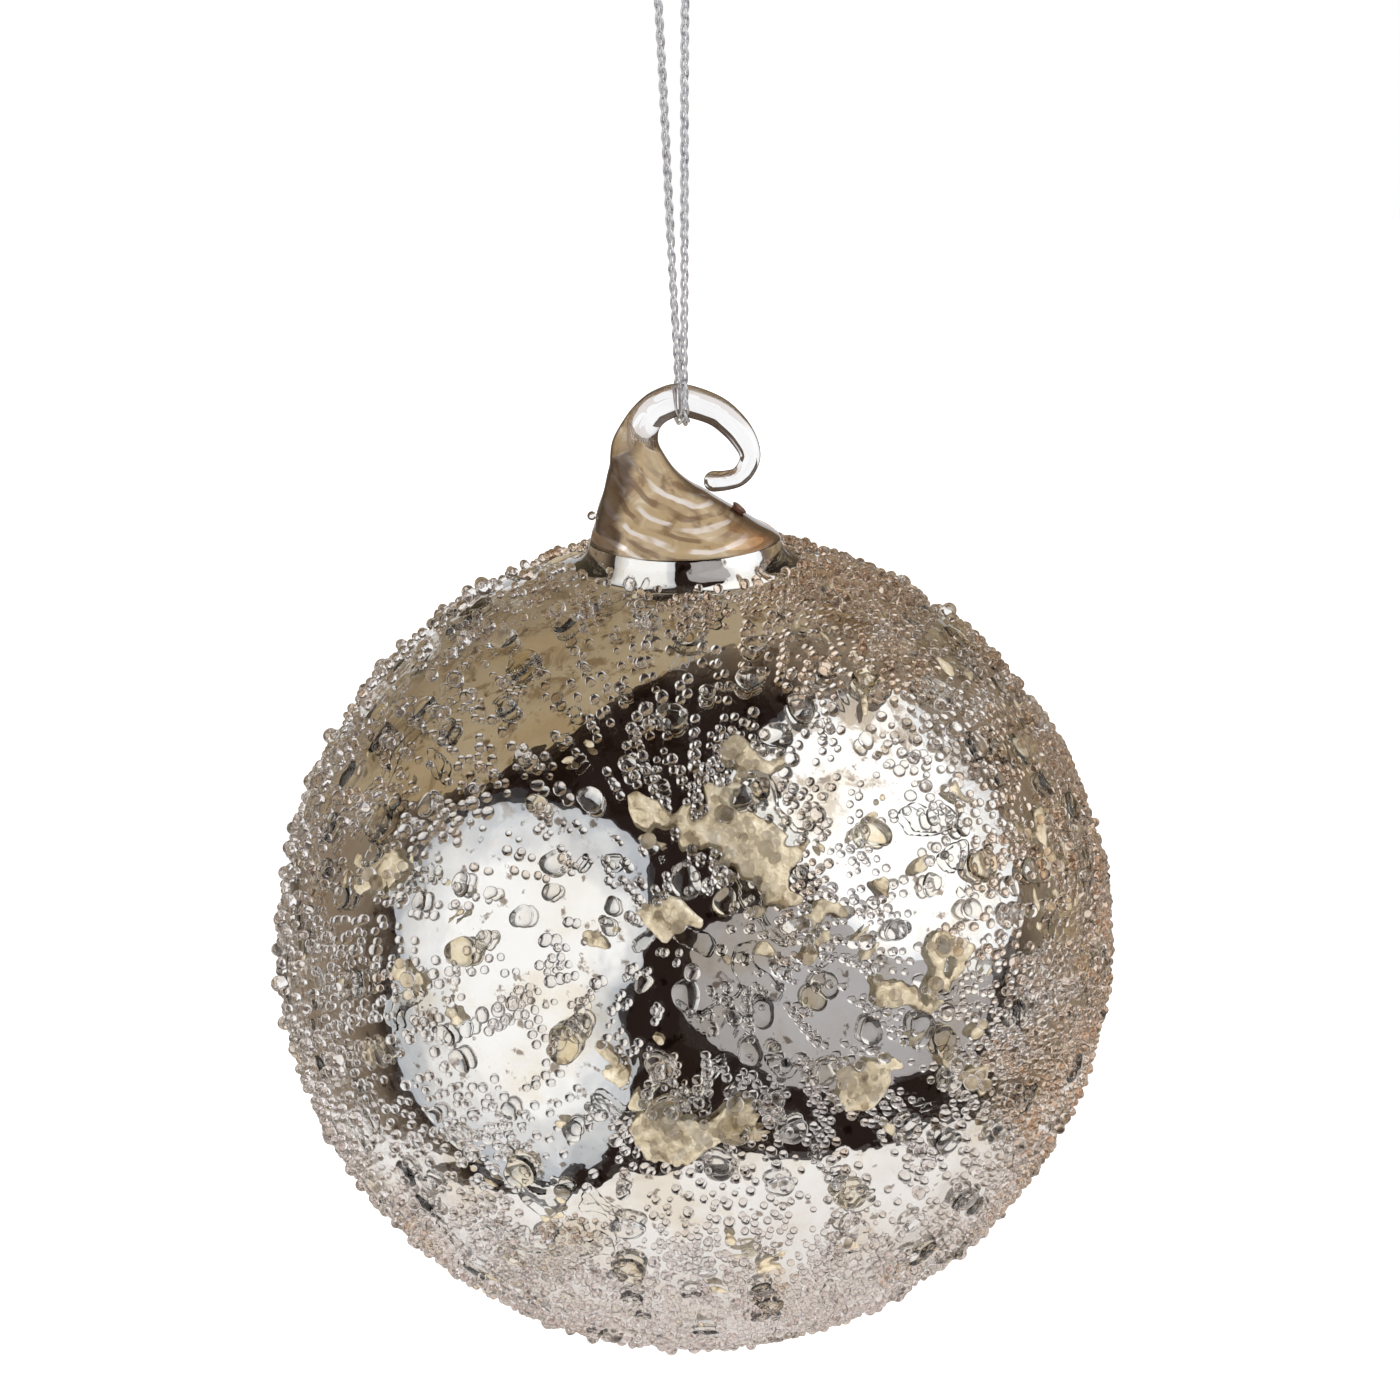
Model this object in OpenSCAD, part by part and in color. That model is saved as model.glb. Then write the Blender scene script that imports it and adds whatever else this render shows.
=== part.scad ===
// Blown glass ball ornament: a silvered ball crusted with glass beads, a hot-worked
// glass hook sealed onto its collar, and a loop of thin metallic cord to hang it by.
// The origin is where the peg carries the loop; everything hangs below it, along -Z.
// +X is the side that the hook's open end is on. Lengths are in millimetres.

/* [Ball] */
// Outside diameter of the glass ball at its equator
ball_d = 78.4; // [76:0.2:82]
// Height of the ball as a share of its diameter
ball_squash = 0.985; // [0.97:0.005:1]
// Thickness of the glass wall
wall = 1; // [0.8:0.1:1.2]

/* [Collar] */
// Radius of the smooth collar where it leaves the ball
collar_base_r = 9.8; // [9.6:0.1:10.4]
// Height of the collar above the ball
collar_h = 2.1; // [1.6:0.1:2.6]
// Radius of the collar's rim, which carries the hook's gather
rim_r = 9; // [8.8:0.1:9.2]
// Radius of the blown nipple that the gather is sealed over
nipple_r = 6.8; // [6:0.1:7]
// Height of the nipple above the rim
nipple_h = 3; // [2:0.1:3]

/* [Coatings] */
// Thickness of the silver film inside the ball
silver_t = 0.06; // [0.04:0.01:0.1]
// Thickness of the tinted lacquer that protects the back of the silver
lacquer_t = 0.1; // [0.06:0.01:0.2]
// Thickness of the clear adhesive that holds the beads
adhesive_t = 0.15; // [0.1:0.01:0.2]

/* [Beads] */
// How many places for beads are spread over the ball
bead_places = 360; // [240:20:480]
// Diameter of a fine bead
fine_bead_d = 0.7; // [0.5:0.05:0.9]
// Diameter of a medium bead
medium_bead_d = 1; // [0.8:0.05:1.3]
// Diameter of a copper-tinted bead
tinted_bead_d = 0.85; // [0.6:0.05:1.2]
// Width of a flattened glass nugget
nugget_w = 2.6; // [2:0.1:3.2]
// Thickness of a flattened glass nugget
nugget_t = 0.9; // [0.6:0.05:1.2]
// Angle at the ball's centre between its axis and the first beads
bare_angle = 18; // [17:1:24]

/* [Cord] */
// Diameter of the metallic cord
cord_d = 0.8; // [0.6:0.05:1]
// Height from the middle of the hook's crown to the top of the loop
loop_h = 70; // [66:1:80]
// Air between the cord and the glass of the crown
crown_gap = 0.08; // [0.05:0.01:0.12]
// Turn of the cord's bend away from square to the crown, in degrees
bight_yaw = 8; // [0:1:12]
// Diameter of the knot above the loop
knot_d = 2.6; // [2.2:0.1:3]
// Length of each cut end above the knot
tail_l = 6; // [4:0.5:8]

/* [Fill hole] */
// Diameter of the hole that the silver was poured in by
fill_d = 1.2; // [1:0.1:1.4]
// Height above the rim at which the hole leaves the gather
fill_rise = 2.9; // [2.8:0.05:3]

/* [Hidden] */

ball_a = ball_d / 2;
ball_b = ball_a * ball_squash;
arc_steps = 48;
film_gap = 0.01;
seat_gap = 0.02;

collar_base_z = ball_b * sqrt(1 - pow(collar_base_r / ball_a, 2));
rim_z = collar_base_z + collar_h;

// The hook's cross-sections, from the gather's base to the rounded tip: each is
// [x, height above the rim, radius, lean of the section's normal from +Z to +X].
HOOK_SECTIONS = [
    [0, 0, 9, 0],
    [-0.6, 1.6, 7.9, 4],
    [-1.5, 3.2, 6.5, 5],
    [-2.3, 4.6, 5.1, 6],
    [-3.1, 6, 4.05, 12],
    [-3.8, 7.4, 3.2, 14],
    [-4.2, 9, 2.5, 16],
    [-4, 10.4, 1.95, 28],
    [-3.3, 11.8, 1.65, 44],
    [-2, 12.9, 1.6, 66],
    [0, 13.4, 1.58, 90],
    [3, 12.4, 1.45, 117],
    [4.8, 10.9, 1.35, 136],
    [5.9, 9.3, 1.2, 154],
    [6.35, 7.8, 1, 180],
    [5.95, 6.6, 0.95, 210],
    [5.15, 5.8, 0.93, 239],
    [3.95, 5.5, 0.95, 262],
    [2.9, 5.45, 1, 270]
];
CROWN = 10;
hook_sides = 24;
section_steps = 3;
tip_angles = [30, 55, 78];

crown_rise = HOOK_SECTIONS[CROWN][1];
crown_r = HOOK_SECTIONS[CROWN][2];
crown_z = -loop_h;
ball_z = crown_z - crown_rise - rim_z;
bend_r = crown_r + crown_gap + cord_d / 2;

// The fill hole runs square to the gather's right shoulder, in the XZ plane.
fill_lean = 42;
fill_mouth = [5.3, 0, rim_z + fill_rise];
fill_depth = 4.2;
plug_stand = 0.35;
golden_turn = 137.50776;

// The way of one cord run from the knot down to the bend under the crown:
// [sideways, share of the bend's radius towards the viewer, height].
CORD_ROUTE = [
    [0.45, 0, 0.4],
    [1.2, 0, 0.05],
    [1.75, 0.01, -0.6],
    [2, 0.03, -1.6],
    [2, 0.06, -4],
    [1.85, 0.14, -10],
    [1.6, 0.28, -20],
    [1.3, 0.42, -30],
    [1, 0.56, -40],
    [0.75, 0.7, -50],
    [0.5, 0.84, -60],
    [0.3, 0.97, -66]
];
route_steps = 3;
// The bend's straight legs stand this high, to just above the glass of the crown.
leg_l = crown_r + 0.52;
bend_step = 12;
cord_sides = 8;
knot_z = 1.5;
tail_lean = 20;
run_end = [bend_r * sin(bight_yaw), bend_r * cos(bight_yaw)];

function unit(v) = v / norm(v);

// A smooth value through b and c, with a and d beyond them.
function smooth(a, b, c, d, t) =
    0.5 * (2 * b + (c - a) * t + (2 * a - 5 * b + 4 * c - d) * t * t
        + (3 * b - a - 3 * c + d) * t * t * t);

// A list of points or sections with steps stretches between each pair.
function refined(list, steps) = [
    for (i = [0 : len(list) - 2], s = [0 : steps - 1])
        smooth(list[max(i - 1, 0)], list[i], list[i + 1],
            list[min(i + 2, len(list) - 1)], s / steps),
    list[len(list) - 1]
];

// Latitude at which the ball's section, shrunk by inset, meets the collar.
function collar_lat(inset) = acos((collar_base_r - inset) / (ball_a - inset));

// The first steps of the arc_steps of the ball's section, offset outwards, from the
// bottom towards latitude top.
function ball_arc(offset, top, steps = arc_steps) = [
    for (i = [0 : steps])
        let (t = -90 + (top + 90) * i / arc_steps)
        [(ball_a + offset) * cos(t), (ball_b + offset) * sin(t)]
];

// Points of the nipple's section, from its foot to its top, shrunk by inset.
function nipple_arc(inset) = [
    for (t = [0 : 10 : 90])
        [(nipple_r - inset) * cos(t), rim_z + (nipple_h - inset) * sin(t)]
];

// The whole inside line of the ball, its collar and its nipple, shrunk by inset.
function inner_line(inset) = concat(
    ball_arc(-inset, collar_lat(inset)),
    [[rim_r - inset, rim_z - inset]],
    [[nipple_r - inset, rim_z - inset]],
    nipple_arc(inset)
);

function reversed(list) = [for (i = [len(list) - 1 : -1 : 0]) list[i]];

module revolved(points) {
    rotate_extrude($fn = 96) polygon(points);
}

// Where bead number i sits: [point on the glass, outward normal].
function bead_height(i) = 1 - 2 * (i + 0.5) / bead_places;
function bead_site(i) =
    let (
        up = bead_height(i),
        round = sqrt(1 - up * up),
        turn = i * golden_turn,
        point = [ball_a * round * cos(turn), ball_a * round * sin(turn), ball_b * up],
        normal = unit([point[0] / pow(ball_a, 2), point[1] / pow(ball_a, 2),
            point[2] / pow(ball_b, 2)])
    )
    [point, normal];

// The copper tint is on the upper part and the +X side of the ball.
function tinted(normal) = normal[2] > 0.72 || normal[0] > 0.62;
function nugget_place(i) = i % 10 == 3;
function medium_place(i) = i % 3 == 1 && !nugget_place(i);

// Puts the children's Z axis along the outward normal of each chosen place.
module at_places(kind, lift) {
    for (i = [0 : bead_places - 1]) {
        site = bead_site(i);
        normal = site[1];
        is_tinted = tinted(normal);
        place = nugget_place(i) ? "nugget"
            : is_tinted ? "tinted"
            : medium_place(i) ? "medium"
            : "fine";
        if (place == kind && acos(bead_height(i)) > bare_angle)
            translate([0, 0, ball_z])
                translate(site[0] + normal * (adhesive_t + seat_gap + lift))
                    rotate([0, acos(normal[2]), atan2(normal[1], normal[0])])
                        children();
    }
}

module round_beads(kind, d) {
    at_places(kind, d / 2) sphere(d = d, $fn = 24);
}

module glass_ball() {
    color("Gainsboro")
        translate([0, 0, ball_z])
            difference() {
                revolved(concat(
                    ball_arc(0, collar_lat(0)),
                    [[rim_r, rim_z]],
                    nipple_arc(0),
                    reversed(inner_line(wall))
                ));
                fill_channel();
            }
}

module silver_lining() {
    color("Silver")
        translate([0, 0, ball_z])
            difference() {
                revolved(concat(
                    inner_line(wall + film_gap),
                    reversed(inner_line(wall + film_gap + silver_t))
                ));
                fill_channel();
            }
}

module backing_lacquer() {
    start = wall + silver_t + 2 * film_gap;
    color("#8a7358")
        translate([0, 0, ball_z])
            difference() {
                revolved(concat(
                    inner_line(start),
                    reversed(inner_line(start + lacquer_t))
                ));
                fill_channel();
            }
}

module bead_adhesive() {
    top = collar_lat(0);
    covered_steps = floor(arc_steps * (180 - bare_angle + 1) / (top + 90));
    color("#d9d4cc")
        translate([0, 0, ball_z])
            revolved(concat(
                ball_arc(film_gap + adhesive_t, top, covered_steps),
                reversed(ball_arc(film_gap, top, covered_steps))
            ));
}

module fine_beads() {
    color("#e4dcd6") round_beads("fine", fine_bead_d);
}

module medium_beads() {
    color("#d8d2cc") round_beads("medium", medium_bead_d);
}

module tinted_beads() {
    color("#b48a6c") round_beads("tinted", tinted_bead_d);
}

// A drop of glass with a flat back, one nugget_w wide and nugget_t tall.
module droplet() {
    droplet_r = (pow(nugget_w / 2, 2) + pow(nugget_t, 2)) / (2 * nugget_t);
    intersection() {
        translate([0, 0, nugget_t / 2 - droplet_r]) sphere(r = droplet_r, $fn = 48);
        translate([0, 0, -nugget_t / 2]) cylinder(d = 2 * nugget_w, h = 2 * nugget_t, $fn = 24);
    }
}

module glass_nuggets() {
    color("#cfc2a6") at_places("nugget", nugget_t / 2) droplet();
}

// The straight channel of the fill hole; slack widens it past the plug.
module fill_channel(slack = 0.02) {
    translate(fill_mouth)
        rotate([0, fill_lean, 0])
            translate([0, 0, -fill_depth])
                cylinder(d = fill_d + 2 * slack, h = fill_depth + 2, $fn = 32);
}

// Points of one cross-section of the hook; section is a row like HOOK_SECTIONS.
function hook_ring(section) = [
    for (i = [0 : hook_sides - 1])
        let (turn = 360 * i / hook_sides, reach = section[2] * cos(turn))
        [section[0] + reach * cos(section[3]), section[2] * sin(turn),
            section[1] - reach * sin(section[3])]
];

// Shrinking sections past the last one, which round off the tip.
function tip_sections(last) = [
    for (t = tip_angles)
        [last[0] + last[2] * sin(t) * sin(last[3]), last[1] + last[2] * sin(t) * cos(last[3]),
            last[2] * cos(t), last[3]]
];

// A closed polyhedron through rings of equal length.
module skinned(rings) {
    sides = len(rings[0]);
    ends = len(rings) - 1;
    points = [for (ring = rings, p = ring) p];
    walls = [
        for (k = [0 : ends - 1], i = [0 : sides - 1])
            let (j = (i + 1) % sides, low = k * sides, high = low + sides)
            each [[low + i, high + i, high + j], [low + i, high + j, low + j]]
    ];
    first_cap = [for (i = [0 : sides - 1]) i];
    last_cap = [for (i = [sides - 1 : -1 : 0]) ends * sides + i];
    polyhedron(points, concat(walls, [first_cap, last_cap]), convexity = 6);
}

module glass_hook() {
    sections = concat(
        refined(HOOK_SECTIONS, section_steps),
        tip_sections(HOOK_SECTIONS[len(HOOK_SECTIONS) - 1])
    );
    color("#e8e4dc")
        translate([0, 0, ball_z])
            difference() {
                translate([0, 0, rim_z]) skinned([for (s = sections) hook_ring(s)]);
                translate([0, 0, -1])
                    cylinder(r = nipple_r + film_gap, h = rim_z + 1, $fn = 96);
                revolved(concat([[0, rim_z - 1]], [[nipple_r, rim_z - 1]], nipple_arc(-film_gap)));
                fill_channel();
            }
}

module fill_hole_plug() {
    color("#6b4431")
        translate([0, 0, ball_z])
            translate(fill_mouth)
                rotate([0, fill_lean, 0])
                    translate([0, 0, -fill_depth])
                        cylinder(d = fill_d, h = fill_depth + plug_stand, $fn = 32);
}

// Rings of a tube of diameter d along a path that stays near the plane square to flat.
function tube_rings(path, d, flat = [0, 1, 0]) = [
    for (k = [0 : len(path) - 1])
        let (
            along = unit(path[min(k + 1, len(path) - 1)] - path[max(k - 1, 0)]),
            side = unit(cross(along, flat)),
            out = cross(side, along)
        )
        [for (i = [0 : cord_sides - 1]) let (turn = 360 * i / cord_sides)
            path[k] + d / 2 * (side * cos(turn) + out * sin(turn))]
];

// One run of the cord. It ends in a short upright stretch on the bend's leg.
module cord_run() {
    route = [for (p = CORD_ROUTE) [p[0], -p[1] * run_end[1], p[2] * loop_h / 70]];
    foot = [
        [run_end[0], -run_end[1], crown_z + leg_l + 0.8],
        [run_end[0], -run_end[1], crown_z + leg_l]
    ];
    skinned(tube_rings(concat(refined(route, route_steps), foot), cord_d));
}

module cord_front_run() {
    color("Silver") cord_run();
}

module cord_back_run() {
    color("Silver") rotate([0, 0, 180]) cord_run();
}

// The bend under the crown and its two legs beside the crown, which turn with the hook.
module cord_bight() {
    bend = [
        for (t = [0 : bend_step : 180])
            [run_end[0] * cos(t), -run_end[1] * cos(t), crown_z - bend_r * sin(t)]
    ];
    legs = [for (side = [1, -1]) [side * run_end[0], -side * run_end[1], crown_z + leg_l]];
    path = concat([legs[0]], bend, [legs[1]]);
    color("Silver") skinned(tube_rings(path, cord_d, [run_end[1], run_end[0], 0]));
}

module cord_knot() {
    color("Silver") {
        translate([0, 0, knot_z]) sphere(d = knot_d, $fn = 48);
        for (side = [-1, 1])
            translate([0, 0, knot_z])
                rotate([0, side * tail_lean, 0])
                    cylinder(d = cord_d, h = knot_d / 2 + tail_l, $fn = 24);
    }
}

glass_ball();
silver_lining();
backing_lacquer();
bead_adhesive();
fine_beads();
medium_beads();
tinted_beads();
glass_nuggets();
glass_hook();
fill_hole_plug();
cord_front_run();
cord_back_run();
cord_bight();
cord_knot();
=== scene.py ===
"""Blender scene of a glass ball ornament: a silvered ball crusted with glass beads,
its hot-worked glass hook, and the knotted loop of metallic cord that it hangs from.

Everything is in metres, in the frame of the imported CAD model: the origin is where a
peg carries the loop, +Z is up and +X is the side of the hook's open end.
"""

import math

import bmesh
import bpy
import numpy as np
from mathutils import Matrix, Vector, noise


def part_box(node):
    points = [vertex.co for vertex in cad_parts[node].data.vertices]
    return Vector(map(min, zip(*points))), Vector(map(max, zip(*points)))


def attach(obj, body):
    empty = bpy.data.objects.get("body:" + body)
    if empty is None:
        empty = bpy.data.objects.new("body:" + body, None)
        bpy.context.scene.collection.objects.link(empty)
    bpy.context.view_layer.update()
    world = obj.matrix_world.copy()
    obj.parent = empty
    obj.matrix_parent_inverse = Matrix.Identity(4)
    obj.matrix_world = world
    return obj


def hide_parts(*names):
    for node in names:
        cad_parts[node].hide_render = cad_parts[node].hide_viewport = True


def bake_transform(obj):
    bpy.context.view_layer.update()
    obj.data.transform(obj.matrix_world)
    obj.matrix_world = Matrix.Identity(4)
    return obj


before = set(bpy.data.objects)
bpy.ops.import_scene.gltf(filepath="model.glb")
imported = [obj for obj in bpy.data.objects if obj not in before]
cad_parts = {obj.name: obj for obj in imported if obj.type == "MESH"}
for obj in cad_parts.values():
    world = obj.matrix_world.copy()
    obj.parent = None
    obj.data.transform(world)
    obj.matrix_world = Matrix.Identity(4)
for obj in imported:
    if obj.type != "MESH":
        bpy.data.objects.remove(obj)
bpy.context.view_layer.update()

MM = 0.001
TAU = 2 * math.pi

# ---------------------------------------------------------------- sizes, from the frame

BALL_LOW, BALL_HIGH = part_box("glass_ball")
BALL_A = (BALL_HIGH.x - BALL_LOW.x) / 2
BALL_B = BALL_A * 0.985
BALL_Z = BALL_LOW.z + BALL_B
BALL_CENTRE = Vector((0, 0, BALL_Z))
RIM_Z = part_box("glass_hook")[0].z
WALL = 1.0 * MM
FILM_GAP = 0.01 * MM
SILVER_T = 0.06 * MM
COLLAR_R = 9.8 * MM
RIM_R = 9.0 * MM
NIPPLE_R = 6.8 * MM
NIPPLE_H = 3.0 * MM
FILLET = 1.7 * MM
NECK_THINNING = 0.35
BARE_ANGLE = math.radians(16.4)

# ---------------------------------------------------------------- camera

VIEW_ELEVATION = math.radians(15)
VIEW_ROLL = math.radians(1.4)
VIEW_DISTANCE = 0.8
PICTURE_WIDTH = 0.1343
BALL_BELOW_MIDDLE = 22.8 * MM
BALL_LEFT_OF_MIDDLE = 0.5 * MM
VIEW_LEVEL = Vector((1, 0, 0))
VIEW_STEEP = Vector((0, math.sin(VIEW_ELEVATION), math.cos(VIEW_ELEVATION)))
VIEW_BACK = Vector((0, -math.cos(VIEW_ELEVATION), math.sin(VIEW_ELEVATION)))


def add_camera():
    """The camera looks down on the ball from the front, leaning a little to the right."""
    data = bpy.data.cameras.new("camera")
    data.sensor_width = 36
    data.lens = data.sensor_width * VIEW_DISTANCE / PICTURE_WIDTH
    data.clip_start, data.clip_end = 0.01, 10
    camera = bpy.data.objects.new("camera", data)
    bpy.context.scene.collection.objects.link(camera)
    up = VIEW_STEEP * math.cos(VIEW_ROLL) + VIEW_LEVEL * math.sin(VIEW_ROLL)
    right = VIEW_LEVEL * math.cos(VIEW_ROLL) - VIEW_STEEP * math.sin(VIEW_ROLL)
    aim = BALL_CENTRE + up * BALL_BELOW_MIDDLE + right * BALL_LEFT_OF_MIDDLE
    camera.matrix_world = Matrix.Translation(aim + VIEW_BACK * VIEW_DISTANCE) @ Matrix(
        (right, up, VIEW_BACK)
    ).transposed().to_4x4()
    bpy.context.scene.camera = camera


def seen_on_ball(across, up):
    """The direction from the ball's centre to where the viewer sees that point of it, which
    is across to the right and up, in ball radii."""
    near = math.sqrt(max(0, 1 - across**2 - up**2))
    return VIEW_LEVEL * across + VIEW_STEEP * up + VIEW_BACK * near


def mirrored(across, up):
    """The direction that the ball mirrors to the viewer at that point."""
    normal = seen_on_ball(across, up)
    return normal * (2 * normal.dot(VIEW_BACK)) - VIEW_BACK


add_camera()

# ---------------------------------------------------------------- meshes


def make_piece(name, points, triangles, material):
    """A smooth-shaded mesh object in the frame, from arrays of points and triangles."""
    points = np.asarray(points, np.float32)
    triangles = np.asarray(triangles, np.int32)
    mesh = bpy.data.meshes.new(name)
    mesh.vertices.add(len(points))
    mesh.vertices.foreach_set("co", points.ravel())
    mesh.loops.add(triangles.size)
    mesh.loops.foreach_set("vertex_index", triangles.ravel())
    mesh.polygons.add(len(triangles))
    mesh.polygons.foreach_set("loop_start", np.arange(0, triangles.size, 3, dtype=np.int32))
    mesh.polygons.foreach_set("use_smooth", np.ones(len(triangles), bool))
    mesh.update(calc_edges=True)
    mesh.validate()
    mesh.materials.append(material)
    piece = bpy.data.objects.new(name, mesh)
    bpy.context.scene.collection.objects.link(piece)
    return piece


def stand_for(piece, body, slot, *nodes):
    """The piece rides on a body and replaces CAD nodes."""
    if body:
        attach(piece, body)
    if nodes:
        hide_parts(*nodes)
    return piece


def merged(parts):
    """One (points, triangles) pair from several."""
    points, triangles, count = [], [], 0
    for p, t in parts:
        points.append(np.asarray(p, float).reshape(-1, 3))
        triangles.append(np.asarray(t, int).reshape(-1, 3) + count)
        count += len(points[-1])
    return np.concatenate(points), np.concatenate(triangles)


def skin(rings, closed=False):
    """(points, triangles) of a tube through rings of equal length, capped unless closed."""
    rings = np.asarray(rings, float)
    count, sides = rings.shape[:2]
    points = rings.reshape(-1, 3)
    k = np.arange(count if closed else count - 1)[:, None]
    i = np.arange(sides)[None, :]
    low, high = k * sides, (k + 1) % count * sides
    j = (i + 1) % sides
    walls = np.concatenate(
        [
            np.stack([low + i, low + j, high + j], -1).reshape(-1, 3),
            np.stack([low + i, high + j, high + i], -1).reshape(-1, 3),
        ]
    )
    if closed:
        return points, walls
    ends = np.array([rings[0].mean(0), rings[-1].mean(0)])
    first = len(points)
    turn = np.arange(sides)
    after = (turn + 1) % sides
    last = (count - 1) * sides
    caps = np.concatenate(
        [
            np.stack([np.full(sides, first), after, turn], -1),
            np.stack([np.full(sides, first + 1), last + turn, last + after], -1),
        ]
    )
    return np.concatenate([points, ends]), np.concatenate([walls, caps])


def turned(profile, segments, push=None):
    """(points, triangles) of the closed surface that profile, (radius, height) rows from the
    bottom to the top of the axis, makes about the ball's axis. push moves points outwards."""
    profile = np.asarray(profile, float)
    turn = np.arange(segments) * TAU / segments
    inner = profile[1:-1]
    rings = np.stack(
        [
            inner[:, :1] * np.cos(turn),
            inner[:, :1] * np.sin(turn),
            np.repeat(inner[:, 1:], segments, 1),
        ],
        -1,
    )
    if push is not None:
        rings = push(rings)
    points, walls = skin(rings)
    points[-2:] = [(0, 0, profile[0, 1]), (0, 0, profile[-1, 1])]
    return points + np.array(BALL_CENTRE), walls


def smooth_step(value, low, high):
    t = np.clip((np.asarray(value, float) - low) / (high - low), 0, 1)
    return t * t * (3 - 2 * t)


def refined(rows, steps):
    """Catmull-Rom points with steps stretches between each pair of rows."""
    rows = np.asarray(rows, float)
    last = len(rows) - 1
    made = []
    for i in range(last):
        a, b = rows[max(i - 1, 0)], rows[i]
        c, d = rows[i + 1], rows[min(i + 2, last)]
        for s in range(steps):
            t = s / steps
            made.append(
                0.5
                * (
                    2 * b
                    + (c - a) * t
                    + (2 * a - 5 * b + 4 * c - d) * t**2
                    + (3 * b - a - 3 * c + d) * t**3
                )
            )
    made.append(rows[last])
    return np.array(made)


# ---------------------------------------------------------------- materials


class Nodes:
    """The nodes of a material or of the world."""

    def __init__(self, owner):
        owner.use_nodes = True
        self.tree = owner.node_tree

    def node(self, kind, links=(), **settings):
        """A node of that kind; links are (input, socket or value) pairs."""
        node = self.tree.nodes.new("ShaderNode" + kind)
        for key, value in settings.items():
            setattr(node, key, value)
        for name, source in links:
            if isinstance(source, bpy.types.NodeSocket):
                self.tree.links.new(source, node.inputs[name])
            else:
                node.inputs[name].default_value = source
        return node

    def ramp(self, value, *stops):
        """Colour from (position, (r, g, b)) stops."""
        node = self.node("ValToRGB", [("Fac", value)])
        while len(node.color_ramp.elements) < len(stops):
            node.color_ramp.elements.new(0.5)
        for element, (position, colour) in zip(node.color_ramp.elements, stops):
            element.position = position
            element.color = (*colour, 1)
        return node.outputs["Color"]

    def mask(self, value, low, high):
        """Smooth step of value, 0 at low and 1 at high."""
        links = [("Value", value), ("From Min", low), ("From Max", high)]
        node = self.node("MapRange", links, interpolation_type="SMOOTHSTEP")
        return node.outputs["Result"]

    def mix(self, factor, a, b):
        """Colour a where factor is 0 and b where it is 1."""
        links = [(0, factor), (6, a), (7, b)]
        return self.node("Mix", links, data_type="RGBA").outputs[2]

    def maths(self, operation, a, b=0.0):
        return self.node("Math", [(0, a), (1, b)], operation=operation).outputs[0]


class Surface(Nodes):
    """A Principled material and the procedural nodes that feed it."""

    def __init__(self, name, **settings):
        self.material = bpy.data.materials.new(name)
        super().__init__(self.material)
        self.shader = self.tree.nodes["Principled BSDF"]
        for key, value in settings.items():
            self.shader.inputs[key.replace("_", " ")].default_value = value
        self.place = self.tree.nodes.new("ShaderNodeTexCoord").outputs["Object"]

    def shifted(self, offset, stretch=(1, 1, 1)):
        """The place on the object, stretched and then moved by an offset."""
        links = [("Vector", self.place), ("Location", offset), ("Scale", stretch)]
        return self.node("Mapping", links).outputs["Vector"]

    def noise(self, size, detail=3.0, rough=0.55, warp=0.0, at=None):
        """Noise from 0 to 1 with lumps about size metres across."""
        links = [
            ("Vector", at or self.place), ("Scale", 1 / size), ("Detail", detail),
            ("Roughness", rough), ("Distortion", warp),
        ]
        return self.node("TexNoise", links).outputs["Fac"]

    def height(self):
        """The height of the place in the frame."""
        return self.node("SeparateXYZ", [("Vector", self.place)]).outputs["Z"]

    def feed(self, name, socket):
        self.tree.links.new(socket, self.shader.inputs[name])
        return self

    def bump(self, height, distance, strength=1.0):
        links = [("Height", height), ("Distance", distance), ("Strength", strength)]
        return self.feed("Normal", self.node("Bump", links).outputs["Normal"])


def rgb(r, g, b):
    return (r, g, b, 1)


def clear_glass(name, colour, tint, lump, bump, low=None, **settings):
    """Clear glass, patched with a slight tint, with a faint ripple of its surface. low is a
    painted shade: a darker colour for the glass below the ball's middle."""
    glass = Surface(
        name,
        **{"Roughness": 0.0, "IOR": 1.5, "Transmission_Weight": 1.0, **settings},
    )
    patches = glass.mask(glass.noise(lump), 0.42, 0.62)
    tone = glass.mix(patches, rgb(*colour), rgb(*tint))
    if low:
        # under carries the painted shade: the glass turns to the low colour towards the bottom of
        # the ball.
        under = glass.mask(glass.height(), BALL_Z - 0.25 * BALL_B, BALL_Z - 0.6 * BALL_B)
        tone = glass.mix(under, tone, rgb(*low))
    glass.feed("Base Color", tone)
    if bump:
        glass.bump(glass.noise(lump * 0.4, detail=2), bump)
    return glass.material


def silver_film():
    """The mirror inside the ball, foxed with champagne patches, dark specks and, near the
    collar, brown blotches."""
    film = Surface("silver_film", Metallic=1.0, Roughness=0.015)
    aged = film.mask(film.noise(9 * MM, detail=6, warp=0.6), 0.5, 0.66)
    speck = film.mask(film.noise(1.6 * MM, detail=4), 0.60, 0.68)
    tone = film.mix(aged, rgb(0.93, 0.925, 0.915), rgb(0.86, 0.80, 0.70))
    blotch = film.mask(film.noise(3.4 * MM, detail=7, rough=0.65, warp=0.7), 0.50, 0.62)
    height = film.height()
    upper = film.mask(height, BALL_Z + 0.42 * BALL_B, BALL_Z + 0.62 * BALL_B)
    upper = film.maths("MULTIPLY", upper, film.mask(height, RIM_Z - 1.5 * MM, RIM_Z - 4.5 * MM))
    tone = film.mix(film.maths("MULTIPLY", blotch, upper), tone, rgb(0.50, 0.42, 0.33))
    film.feed("Base Color", film.mix(speck, tone, rgb(0.30, 0.24, 0.19)))
    waves = film.noise(6 * MM, detail=1)
    ripples = film.maths("MULTIPLY", film.noise(1.8 * MM, detail=1), 0.13)
    return film.bump(film.maths("ADD", waves, ripples), 0.21 * MM).material


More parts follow.
